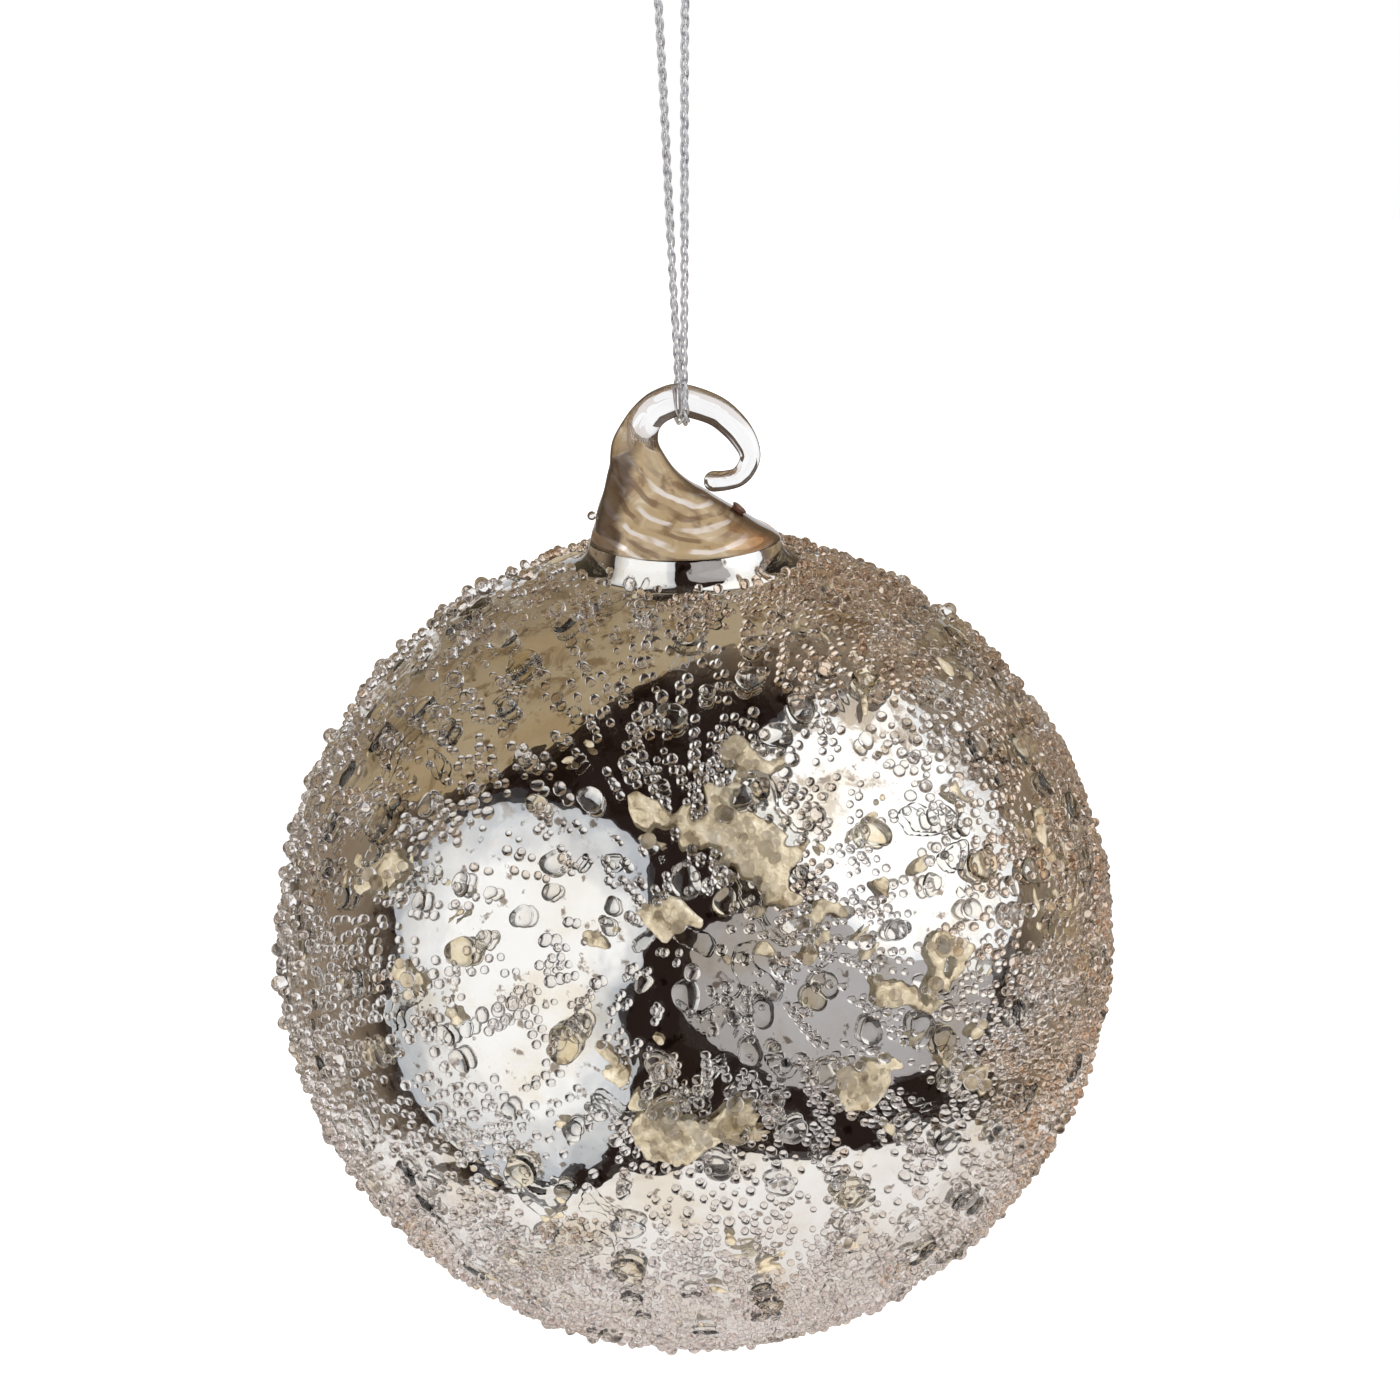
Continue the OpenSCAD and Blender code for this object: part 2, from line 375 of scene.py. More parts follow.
def brown_lacquer():
    lacquer = Surface("brown_lacquer", Roughness=0.3, Coat_Weight=0.5)
    streaks = lacquer.noise(5 * MM, detail=5, at=lacquer.shifted((0, 0, 0), (1, 1, 0.25)))
    lacquer.feed(
        "Base Color",
        lacquer.ramp(
            streaks,
            (0.3, (0.09, 0.055, 0.035)), (0.55, (0.16, 0.10, 0.06)), (0.75, (0.24, 0.17, 0.10)),
        ),
    )
    return lacquer.bump(streaks, 0.05 * MM).material


def champagne_resin_painted_glow():
    """The adhesive where it is thick and pearly: champagne with olive mottling. Its champagne
    tint is partly the adhesive's own and partly a painted reflection of the beige ceiling, and it
    glows in that tint, a painted light.
    """
    resin = Surface("champagne_resin_painted_glow", Metallic=0.25, Roughness=0.22, Emission_Strength=0.13)
    mottle = resin.noise(1.8 * MM, detail=6, warp=0.8)
    tone = resin.ramp(
        mottle,
        (0.34, (0.34, 0.26, 0.16)), (0.42, (0.70, 0.58, 0.39)),
        (0.56, (0.86, 0.74, 0.53)), (0.72, (1.0, 0.92, 0.74)),
    )
    # Emission Color fed from the tone is painted light: the adhesive glows though it is no lamp.
    resin.feed("Base Color", tone).feed("Emission Color", tone)
    return resin.bump(resin.noise(0.9 * MM, detail=2), 0.30 * MM).material


def swirled_core():
    """Champagne glass with light and brown threads drawn through it in bowls under the eye,
    brown down its left side and amber at its lower right. It glows in its own colours, a
    painted light that makes up for the light the hook's glass keeps from it."""
    # Emission_Strength here is painted light: the core glows though it is no lamp.
    core = Surface("swirled_core", Metallic=0.1, Roughness=0.2, Emission_Strength=0.3)
    eye = core.shifted((-1.2 * MM, 0, -(RIM_Z + 10.4 * MM)), (1, 0.5, 1))
    bands = core.node(
        "TexWave",
        [
            ("Vector", eye), ("Scale", 165.0), ("Distortion", 4.6), ("Detail", 3.0),
            ("Detail Scale", 0.8), ("Detail Roughness", 0.5),
        ],
        wave_type="RINGS", rings_direction="SPHERICAL", wave_profile="SIN",
    ).outputs["Fac"]
    blotch = core.noise(2.8 * MM, detail=5, warp=0.8)
    body = core.ramp(
        blotch,
        (0.34, (0.34, 0.22, 0.12)), (0.44, (0.60, 0.45, 0.26)),
        (0.58, (0.68, 0.53, 0.33)), (0.70, (0.86, 0.74, 0.55)),
    )
    broken = core.noise(3.4 * MM, detail=2, at=core.shifted((0.02, 0.01, 0)))
    light = core.maths("MULTIPLY", core.mask(bands, 0.80, 0.97), core.mask(broken, 0.38, 0.52))
    brown = core.maths("MULTIPLY", core.mask(bands, 0.20, 0.05), core.mask(broken, 0.62, 0.46))
    tone = core.mix(light, body, rgb(0.98, 0.90, 0.83))
    tone = core.mix(core.maths("MULTIPLY", brown, 0.75), tone, rgb(0.24, 0.14, 0.08))
    place = core.node("SeparateXYZ", [("Vector", core.place)]).outputs
    height = core.maths("SUBTRACT", place["Z"], RIM_Z)
    amber = core.maths(
        "MULTIPLY",
        core.mask(place["X"], 2.0 * MM, 7.5 * MM),
        core.mask(height, 4.2 * MM, 2.0 * MM),
    )
    tone = core.mix(core.maths("MULTIPLY", amber, 0.8), tone, rgb(0.36, 0.17, 0.06))
    lean = core.maths("SUBTRACT", place["X"], core.maths("MULTIPLY", height, 0.22))
    ragged = core.maths("ADD", lean, core.maths("MULTIPLY", blotch, 1.6 * MM))
    side = core.mask(ragged, -5.0 * MM, -6.1 * MM)
    tone = core.mix(core.maths("MULTIPLY", side, 0.9), tone, rgb(0.10, 0.055, 0.03))
    # Feeding the tone to Emission Color makes the core glow, a painted light.
    core.feed("Base Color", tone).feed("Emission Color", tone)
    return core.bump(core.maths("ADD", bands, blotch), 0.22 * MM).material


def sealing_wax():
    wax = Surface("sealing_wax", Roughness=0.18, Coat_Weight=0.6)
    swirl = wax.noise(0.5 * MM, detail=4)
    wax.feed(
        "Base Color",
        wax.ramp(
            swirl,
            (0.3, (0.07, 0.025, 0.015)), (0.6, (0.20, 0.08, 0.05)), (0.8, (0.3, 0.14, 0.09)),
        ),
    )
    return wax.bump(swirl, 0.04 * MM).material


def metallic_thread():
    """Silver-foil thread: fine bright and dark filaments across the strands, and painted glints
    that lighten and darken its colour in spots.
    """
    thread = Surface("metallic_thread", Metallic=0.8, Roughness=0.28)
    filaments = thread.noise(0.16 * MM, detail=3, rough=0.7)
    # A painted glint: this noise lightens the thread's colour towards white in spots.
    painted_glint = thread.noise(0.6 * MM, detail=2)
    mixed = thread.maths(
        "ADD", thread.maths("MULTIPLY", filaments, 0.55), thread.maths("MULTIPLY", painted_glint, 0.45)
    )
    thread.feed(
        "Base Color",
        thread.ramp(
            mixed,
            (0.36, (0.30, 0.30, 0.32)), (0.44, (0.72, 0.72, 0.75)),
            (0.52, (0.95, 0.95, 0.97)), (0.62, (1.0, 1.0, 1.0)),
        ),
    )
    return thread.bump(filaments, 0.05 * MM).material


# ---------------------------------------------------------------- cord

BEND_R = 2.06 * MM
BEND_Z = -70 * MM
LEG_TOP_Z = -67.9 * MM
# Where the bend's front leg stands, which turns the bend 8 degrees from straight across.
FOOT = np.array([0.2867, -2.040]) * MM
# One run of the cord, from the knot down to the bend's leg: how far sideways in millimetres,
# the share of the leg's distance towards the viewer, and the height in millimetres.
CORD_ROUTE = [
    (0.45, 0, 0.4),
    (1.2, 0, 0.05),
    (1.75, 0.01, -0.6),
    (2, 0.03, -1.6),
    (2, 0.06, -4),
    (1.85, 0.14, -10),
    (1.6, 0.28, -20),
    (1.3, 0.42, -30),
    (1, 0.56, -40),
    (0.75, 0.7, -50),
    (0.5, 0.84, -60),
    (0.3, 0.97, -66),
]
PLAIT_PITCH = 4.8 * MM
STRANDS = 3
STRAND_R = 0.145 * MM
PLAIT_WIDE = 0.275 * MM
PLAIT_DEEP = 0.15 * MM


def cord_path():
    """The loop's centreline: down the front run, round the bend, up the back run."""
    front = [(x * MM, share * FOOT[1], z * MM) for x, share, z in CORD_ROUTE]
    front = list(refined(front, 6))
    front += [(*FOOT, LEG_TOP_Z + 0.8 * MM), (*FOOT, LEG_TOP_Z)]
    bend = []
    for step in range(13):
        turn = math.pi * step / 12
        bend.append((*(FOOT * math.cos(turn)), BEND_Z - BEND_R * math.sin(turn)))
    back = [(-x, -y, z) for x, y, z in reversed(front)]
    return np.array(front + bend + back)


def resampled(path, step):
    """Points along the path about step apart, and how far along each is."""
    gaps = np.linalg.norm(np.diff(path, axis=0), axis=1)
    along = np.concatenate([[0], np.cumsum(gaps)])
    count = max(4, int(round(along[-1] / step)))
    at = np.linspace(0, along[-1], count + 1)
    return np.stack([np.interp(at, along, path[:, k]) for k in range(3)], -1), at


def carried_frames(points, closed=False):
    """Two directions square to the path at each point, turning as little as they can."""
    if closed:
        tangents = np.roll(points, -1, 0) - np.roll(points, 1, 0)
    else:
        tangents = np.gradient(points, axis=0)
    tangents /= np.linalg.norm(tangents, axis=1)[:, None]
    side = np.cross(tangents[0], (0, 1, 0.01))
    sides = []
    for tangent in tangents:
        side = side - tangent * side.dot(tangent)
        side /= np.linalg.norm(side)
        sides.append(side)
    sides = np.array(sides)
    return sides, np.cross(tangents, sides)


def tube(points, radius, sides=8, closed=False):
    """(points, triangles) of a round tube; radius is one value or one for each point."""
    across, out = carried_frames(points, closed)
    turn = np.arange(sides) * TAU / sides
    radius = np.broadcast_to(radius, len(points))[:, None, None]
    rings = points[:, None] + radius * (
        across[:, None] * np.cos(turn)[None, :, None] + out[:, None] * np.sin(turn)[None, :, None]
    )
    return skin(rings, closed)


def plait(path, step=0.11 * MM, closed=False, splay=0.0):
    """(points, triangles) of a three-strand plait along a path. splay opens its far end, and
    the rod in the bend spreads the strands."""
    points, along = resampled(path, step)
    if closed:
        points, along = points[:-1], along[:-1]
    across, out = carried_frames(points, closed)
    whole = along[-1] + (step if closed else 0)
    turns = round(whole / PLAIT_PITCH) if closed else whole / PLAIT_PITCH
    opened = 1 + splay * smooth_step(along, whole - 1.6 * MM, whole)
    opened += 0.9 * smooth_step(points[:, 2], BEND_Z, BEND_Z - BEND_R)
    parts = []
    for strand in range(STRANDS):
        phase = TAU * (along / whole * turns + strand / STRANDS)
        wide = PLAIT_WIDE * np.sin(phase) * opened
        deep = PLAIT_DEEP * np.sin(2 * phase) * opened
        line = points + across * wide[:, None] + out * deep[:, None]
        parts.append(tube(line, STRAND_R, 7, closed))
    return merged(parts)


def add_cord():
    path, _ = resampled(cord_path(), 0.5 * MM)
    thread = metallic_thread()
    loop = make_piece("hanging_cord", *plait(path), thread)
    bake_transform(loop)
    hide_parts("cord_front_run", "cord_back_run", "cord_bight")

    knot_z = 1.5 * MM
    turn = np.linspace(0, TAU, 181)
    size = 0.3 * MM
    trefoil = size * np.stack(
        [
            np.sin(turn) + 2 * np.sin(2 * turn),
            -1.35 * np.sin(3 * turn),
            np.cos(turn) - 2 * np.cos(2 * turn),
        ],
        -1,
    )
    trefoil[:, 2] += knot_z
    parts = [plait(trefoil, 0.09 * MM, closed=True)]
    for side in (-1, 1):
        lean = math.radians(20) * side
        reach = np.linspace(0.5, 7.3, 24) * MM
        bow = 0.35 * MM * np.sin(reach / (7.3 * MM) * math.pi) * side
        tail = np.stack(
            [np.sin(lean) * reach + bow, 0 * reach, knot_z + np.cos(lean) * reach], -1
        )
        parts.append(plait(tail, splay=0.9))
    knot = make_piece("cord_overhand_knot", *merged(parts), thread)
    stand_for(knot, "cord", "metallic_cord", "cord_knot")


add_cord()

# ---------------------------------------------------------------- ball


def ball_profile(inset, steps):
    """(radius, height) of the ball, its collar and its nipple, shrunk by inset. The wall is
    thinner at the collar, where the glass was drawn out."""
    a, b = BALL_A - inset, BALL_B - inset
    neck_inset = NECK_THINNING * inset
    rim_z = RIM_Z - BALL_Z - 0.1 * inset
    top = math.acos((COLLAR_R + FILLET - inset) / a)
    lats = np.linspace(-math.pi / 2, top, steps)
    rows = [(a * math.cos(t), b * math.sin(t)) for t in lats]
    rows[0] = (0, -b)
    base_z = BALL_B * math.sqrt(1 - (COLLAR_R / BALL_A) ** 2)
    foot = np.array(rows[-1])
    corner = np.array((COLLAR_R - neck_inset, base_z - inset * 0.7))
    neck = np.array((RIM_R + 0.25 * MM - neck_inset, rim_z - 0.9 * MM))
    for s in np.linspace(0, 1, 20)[1:]:
        rows.append(tuple(foot * (1 - s) ** 2 + corner * 2 * s * (1 - s) + neck * s * s))
    rim = np.array((RIM_R - neck_inset, rim_z))
    for s in np.linspace(0, 1, 6)[1:]:
        rows.append(tuple(neck * (1 - s) + rim * s))
    nipple = NIPPLE_R - inset
    rows.append(((rim[0] + nipple) / 2, rim_z))
    for t in np.linspace(0, math.pi / 2, 14):
        rows.append((nipple * math.cos(t), rim_z + (NIPPLE_H - inset) * math.sin(t)))
    rows[-1] = (0, rows[-1][1])
    return rows


def blown_ripple(rings):
    """Moves the ball's outer surface in and out a little, as blown glass is never true."""
    flat = rings.reshape(-1, 3)
    lengths = np.linalg.norm(flat, axis=1)
    calm = smooth_step(flat[:, 2] / lengths, 0.955, 0.90)
    height = np.array(
        [
            0.20 * noise.noise(Vector(p) / (12 * MM)) + 0.075 * noise.noise(Vector(p) / (4 * MM))
            for p in flat
        ]
    )
    moved = flat * (1 + calm * height * MM / lengths)[:, None]
    return moved.reshape(rings.shape)


def flipped(part):
    points, triangles = part
    return points, triangles[:, ::-1]


def add_ball():
    glass = clear_glass(
        "ball_glass", (0.985, 0.98, 0.97), (0.96, 0.945, 0.92), 7 * MM, 0.02 * MM
    )
    shell = merged(
        [
            turned(ball_profile(0, 170), 384, blown_ripple),
            flipped(turned(ball_profile(WALL, 90), 160)),
        ]
    )
    stand_for(make_piece("ball_shell", *shell, glass), "ornament", "clear_glass", "glass_ball")
    inset = WALL + FILM_GAP
    film = merged(
        [
            turned(ball_profile(inset, 150), 256),
            flipped(turned(ball_profile(inset + SILVER_T, 90), 128)),
        ]
    )
    stand_for(
        make_piece("mirror_film", *film, silver_film()), "ornament", "silvering", "silver_lining"
    )
    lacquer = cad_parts["backing_lacquer"]
    lacquer.data.materials.clear()
    lacquer.data.materials.append(brown_lacquer())


add_ball()

# ---------------------------------------------------------------- hook

# [x, height above the rim, radius, lean from +Z to +X in degrees], in millimetres.
HOOK_SECTIONS = [
    (0, 0, 9, 0), (-0.6, 1.6, 7.9, 4), (-1.5, 3.2, 6.5, 5), (-2.3, 4.6, 5.1, 6),
    (-3.1, 6, 4.05, 12), (-3.8, 7.4, 3.2, 14), (-4.2, 9, 2.5, 16), (-4, 10.4, 1.95, 28),
    (-3.3, 11.8, 1.65, 44), (-2, 12.9, 1.6, 66), (0, 13.4, 1.58, 90), (3, 12.4, 1.45, 117),
    (4.8, 10.9, 1.35, 136), (5.9, 9.3, 1.2, 154), (6.35, 7.8, 1, 180), (5.95, 6.6, 0.95, 210),
    (5.15, 5.8, 0.93, 239), (3.95, 5.5, 0.95, 262), (2.9, 5.45, 1, 270),
]


def hook_ring(section, sides, scale=None):
    """A cross-section ring; scale gives each point's share of the radius."""
    x, height, radius, lean = section
    turn = np.arange(sides) * TAU / sides
    reach = radius * (np.ones(sides) if scale is None else scale(turn, height))
    lean = math.radians(lean)
    return MM * np.stack(
        [
            x + reach * np.cos(turn) * math.cos(lean),
            reach * np.sin(turn),
            height - reach * np.cos(turn) * math.sin(lean),
        ],
        -1,
    ) + np.array((0, 0, RIM_Z))


def rounded_end(last, steps):
    """Shrinking sections past the last one, which round off the tip."""
    x, height, radius, lean = last
    rows = []
    for t in np.linspace(0, math.pi / 2, steps)[1:-1]:
        reach = radius * math.sin(t)
        rows.append(
            (
                x + reach * math.sin(math.radians(lean)),
                height + reach * math.cos(math.radians(lean)),
                radius * math.cos(t),
                lean,
            )
        )
    return rows


def drawn_ridges(turn, height):
    """Shallow spiral ridges, which the gather keeps from being twisted and drawn out."""
    fade = smooth_step(height, 9.5, 4) * smooth_step(height, 0, 1.2)
    coil = np.sin(3 * turn + 1.1 * height) + 0.6 * np.sin(5 * turn + 1.9 * height + 1)
    return 1 + 0.022 * fade * coil


def hook_glass():
    """Clear glass whose edges are painted dark by facing angle, a painted shade like the dark
    edges a rod shows in a studio.
    """
    glass = Surface("hook_glass", Roughness=0.0, IOR=1.5, Transmission_Weight=1.0)
    faint = glass.mask(glass.noise(4 * MM), 0.42, 0.62)
    body = glass.mix(faint, rgb(0.995, 0.995, 1.0), rgb(0.975, 0.97, 0.98))
    # edge is a painted shade: the colour turns nearly black where the glass faces away from the
    # view.
    edge = glass.mask(glass.node("LayerWeight", [("Blend", 0.5)]).outputs["Facing"], 0.46, 0.70)
    return glass.feed("Base Color", glass.mix(edge, body, rgb(0.035, 0.018, 0.012))).material


def add_hook():
    sections = list(refined(HOOK_SECTIONS, 8)) + rounded_end(HOOK_SECTIONS[-1], 9)
    rings = [hook_ring(s, 64, drawn_ridges) for s in sections]
    hook = make_piece("hook_rod_and_gather", *skin(rings), hook_glass())
    stand_for(hook, "ornament", "hook_glass", "glass_hook")

    rows = refined([s for s in HOOK_SECTIONS if s[1] <= 9 and s[3] <= 16], 6)
    core = []
    for x, height, radius, lean in rows:
        share = 0.99 - 0.15 * smooth_step(height, 0.5, 3) - 0.2 * smooth_step(height, 4, 7.5)
        share -= 0.5 * smooth_step(height, 7, 9)
        core.append((x, height + 0.02, radius * share, lean))
    core += rounded_end(core[-1], 5)
    rings = [hook_ring(s, 72, swirl_relief) for s in core]
    piece = make_piece("gather_swirl", *skin(rings), swirled_core())
    stand_for(piece, "ornament", "hook_glass")


def swirl_relief(turn, height):
    """Folds in the streaked glass inside the gather."""
    fold = np.sin(2 * turn + 1.7 * height) + 0.7 * np.sin(4 * turn - 2.3 * height + 0.6)
    return 1 + 0.035 * fold * smooth_step(height, 0, 1)


add_hook()

# ---------------------------------------------------------------- plug

FILL_MOUTH = np.array((5.3, 0, 2.9)) * MM + np.array((0, 0, RIM_Z))
FILL_LEAN = math.radians(42)
PLUG_R = 0.6 * MM


def add_plug():
    """A drop of wax in the fill hole: its stem, and a low uneven dome that has run out."""
    axis = np.array((math.sin(FILL_LEAN), 0, math.cos(FILL_LEAN)))
    across = np.array((math.cos(FILL_LEAN), 0, -math.sin(FILL_LEAN)))
    rows = [(PLUG_R / MM, -4.1), (PLUG_R / MM, -1.0), (PLUG_R / MM, -0.35), (0.70, -0.2)]
    rows += [(0.80 * math.cos(t), -0.1 + 0.24 * math.sin(t)) for t in np.linspace(0, 1.5, 12)]
    turn = np.arange(32) * TAU / 32
    rings = []
    for radius, height in rows:
        reach = radius * MM * (1 + (0.07 * np.sin(3 * turn + 1) if height > 0 else 0))
        rings.append(
            FILL_MOUTH
            + axis * height * MM
            + across * (reach * np.cos(turn))[:, None]
            + np.array((0, 1, 0)) * (reach * np.sin(turn))[:, None]
        )
    plug = make_piece("wax_plug", *skin(rings), sealing_wax())
    stand_for(plug, "ornament", "plug", "fill_hole_plug")


add_plug()

# ---------------------------------------------------------------- beads

RNG = np.random.default_rng(11)
BEAD_PLACES = 15500
BEAD_STRINGS = 240
STRING_PITCH = 0.98 * MM
LARGE_BEADS = 0.13
# The export thins out a piece of more faces than 200,000.
MOST_FACES = 190000


def on_ball(directions, lift=0.0):
    """Points on the ball in those directions from its centre, and the outward normals."""
    scale = np.array((BALL_A, BALL_A, BALL_B))
    points = directions * scale
    normals = directions / scale
    normals /= np.linalg.norm(normals, axis=1)[:, None]
    return points + np.array(BALL_CENTRE) + normals * np.asarray(lift).reshape(-1, 1), normals


def lumps(directions, size, seed):
    """Smooth noise, about 0 to 1, with lumps about size metres across."""
    places = directions * (BALL_A / size) + np.array((seed * 17.3, seed * 5.1, -seed * 9.7))
    places += 0.4 * np.sin(1.9 * places[:, [1, 2, 0]])
    return 0.5 + 0.75 * np.array([noise.noise(Vector(p)) for p in places])


def spread(count, jitter):
    """Directions spread evenly over the sphere, each moved by about jitter metres."""
    i = np.arange(count) + 0.5
    up = 1 - 2 * i / count
    turn = i * math.pi * (3 - math.sqrt(5))
    flat = np.sqrt(1 - up * up)
    made = np.stack([flat * np.cos(turn), flat * np.sin(turn), up], -1)
    made += RNG.normal(0, jitter / BALL_A, made.shape)
    return made / np.linalg.norm(made, axis=1)[:, None]


def unit_ball(level):
    """(points, triangles) of a unit icosphere."""
    ball = bmesh.new()
    bmesh.ops.create_icosphere(ball, subdivisions=level, radius=1)
    points = np.array([v.co for v in ball.verts])
    triangles = np.array([[v.index for v in f.verts] for f in ball.faces])
    ball.free()
    return points, triangles


def frames_for(normals):
    """For each normal, two directions square to it, turned at random."""
    helper = np.where(np.abs(normals[:, 2:]) < 0.9, (0.0, 0.0, 1.0), (1.0, 0.0, 0.0))
    east = np.cross(helper, normals)
    east /= np.linalg.norm(east, axis=1)[:, None]
    north = np.cross(normals, east)
    turn = RNG.uniform(0, TAU, len(normals))[:, None]
    first = east * np.cos(turn) + north * np.sin(turn)
    return first, np.cross(normals, first)


def bead_mesh(directions, radii, level):
    """(points, triangles) of uneven glass beads that stand on the ball."""
    shape, faces = unit_ball(level)
    count = len(directions)
    wide = radii * RNG.uniform(0.9, 1.12, count)
    deep = radii * RNG.uniform(0.88, 1.08, count)
    tall = radii * RNG.uniform(0.9, 1.15, count)
    centres, normals = on_ball(directions, tall + 0.02 * MM)
    first, second = frames_for(normals)
    points = (
        centres[:, None]
        + shape[None, :, :1] * (first * wide[:, None])[:, None]
        + shape[None, :, 1:2] * (second * deep[:, None])[:, None]
        + shape[None, :, 2:] * (normals * tall[:, None])[:, None]
    )
    triangles = faces[None] + (np.arange(count) * len(shape))[:, None, None]
    return points.reshape(-1, 3), triangles.reshape(-1, 3)


# Where the adhesive lies thick and champagne on the viewer's side, its tint partly a painted
# reflection of the beige ceiling: how far across and up the viewer sees each patch, and its
# reach, in ball radii.
CHAMPAGNE_PATCHES = [
    (0.12, 0.27, 0.13), (0.27, 0.14, 0.17), (0.13, 0.47, 0.08), (0.38, 0.68, 0.10),
    (-0.08, 0.09, 0.05), (-0.08, -0.41, 0.10), (0.12, -0.40, 0.08), (0.40, -0.33, 0.10),
    (0.70, -0.28, 0.10), (0.48, -0.12, 0.08), (-0.74, 0.20, 0.08), (0.86, 0.16, 0.12),
]


def near_patches(directions):
    """How near each direction is to a champagne patch, from 0 to 1."""
    near = np.zeros(len(directions))
    for across, up, reach in CHAMPAGNE_PATCHES:
        gap = np.linalg.norm(directions - np.array(seen_on_ball(across, up)), axis=1)
        near = np.maximum(near, np.exp(-((gap / reach) ** 2)))
    return near


def copper_share(directions):
    """How copper the beads are: at the top, down the right side and in odd clumps."""
    patch = lumps(directions, 9 * MM, 3)
    top = smooth_step(directions[:, 2] + 0.2 * directions[:, 0] + 0.2 * (patch - 0.5), 0.80, 0.95)
    right = smooth_step(directions[:, 0] + 0.35 * (patch - 0.5), 0.62, 0.84)
    clump = smooth_step(lumps(directions, 8 * MM, 4), 0.78, 0.86) * 0.8
    return np.maximum(np.maximum(top, right), clump)


def bead_share(directions):
    """How many of the even places have a bead."""
    x, y, z = directions.T
    share = 0.23 + 0 * x
    share += 0.42 * smooth_step(z + 0.25 * x, 0.80, 0.98)
    share += 0.62 * smooth_step(-z - 0.12 * x, 0.36, 0.66)
    share += 0.34 * smooth_step(x, 0.55, 0.8)
    share += 0.22 * smooth_step(-x, 0.6, 0.9)
    share += 0.20 * smooth_step(y, 0.0, 0.5)
    share += 0.50 * near_patches(directions)
    clump = lumps(directions, 6 * MM, 1)
    return share * (0.45 + 1.1 * smooth_step(clump, 0.25, 0.75))


def bead_strings(count):
    """Directions of beads that have run together in short strings down the ball."""
    starts = spread(count, 3 * MM)
    made = []
    for start in starts:
        length = RNG.integers(2, 6)
        east = np.cross((0, 0, 1), start)
        east /= np.linalg.norm(east) + 1e-9
        north = np.cross(start, east)
        lean = RNG.normal(0, 0.35)
        way = north * math.cos(lean) + east * math.sin(lean)
        for k in range(length):
            made.append(start + way * k * STRING_PITCH / BALL_A)
    made = np.array(made)
    return made / np.linalg.norm(made, axis=1)[:, None]


def below_collar(directions, margin=0.0):
    return directions[:, 2] < math.cos(BARE_ANGLE + margin)


def add_beads():
    places = spread(BEAD_PLACES, 0.22 * MM)
    places = places[below_collar(places)]
    places = places[RNG.uniform(size=len(places)) < bead_share(places)]
    strings = bead_strings(BEAD_STRINGS)
    places = np.concatenate([places, strings[below_collar(strings)]])
    copper = RNG.uniform(size=len(places)) < copper_share(places)
    low = smooth_step(-places[:, 2], 0.3, 0.6)
    radii = RNG.uniform(0.33, 0.56, len(places)) * MM * (1 - 0.2 * low)
    large = (RNG.uniform(size=len(places)) < LARGE_BEADS) & ~copper
    radii[large] *= RNG.uniform(1.25, 1.6, large.sum())

    # The last colour is a painted shade that darkens the beads below the ball's middle.
    clear = clear_glass(
        "clear_beads", (0.99, 0.975, 0.97), (0.95, 0.91, 0.88), 3 * MM, 0.0, (0.95, 0.905, 0.885)
    )
    tinted = clear_glass("copper_beads", (0.96, 0.89, 0.82), (0.90, 0.77, 0.66), 2 * MM, 0.0)
    groups = [
        ("fine_beads", ~copper & ~large, 2, clear, "bead_glass", "fine_beads"),
        ("medium_beads", large, 3, clear, "bead_glass", "medium_beads"),
        ("copper_beads", copper, 2, tinted, "copper_bead_glass", "tinted_beads"),
    ]
    for name, chosen, level, material, slot, node in groups:
        most = MOST_FACES // (20 * 4 ** (level - 1))
        index = np.flatnonzero(chosen)
        for part in range(0, len(index), most):
            some = index[part : part + most]
            mesh = bead_mesh(places[some], radii[some], level)
            piece = make_piece(f"{name}_{part // most + 1}", *mesh, material)
            stand_for(piece, "ornament", slot, node)
    stray = make_piece("stray_bead", *unit_ball(3), clear)
    stray.data.transform(Matrix.Scale(0.44 * MM, 4))
    stray.location = (-8.75 * MM, 0, RIM_Z + 2.4 * MM)
    stand_for(stray, "ornament", "bead_glass")


add_beads()

# ---------------------------------------------------------------- nuggets


def nugget_mesh(directions, radii, heights):
    """(points, triangles) of flattened glass drops with uneven outlines."""
    sides, rows = 28, 7
    turn = np.arange(sides) * TAU / sides
    centres, normals = on_ball(directions, 0.0)
    first, second = frames_for(normals)
    parts = []
    for k in range(len(directions)):
        phase = RNG.uniform(0, TAU, 3)
        outline = radii[k] * (
            1
            + 0.12 * np.sin(2 * turn + phase[0])
            + 0.06 * np.sin(3 * turn + phase[1])
            + 0.02 * np.sin(5 * turn + phase[2])
        )
        rings = []
        for share, height in [(0.55, 0.02), (0.93, 0.02)] + [
            (math.cos(t), 0.1 + 0.9 * math.sin(t)) for t in np.linspace(0.0, 1.45, rows)
        ]:
            reach = outline * share
            bow = reach**2 / (2 * BALL_A)
            rings.append(
                centres[k]
                + normals[k] * (height * heights[k] - bow)[:, None]
                + first[k] * (reach * np.cos(turn))[:, None]
                + second[k] * (reach * np.sin(turn))[:, None]
            )
        parts.append(skin(rings))
    return merged(parts)


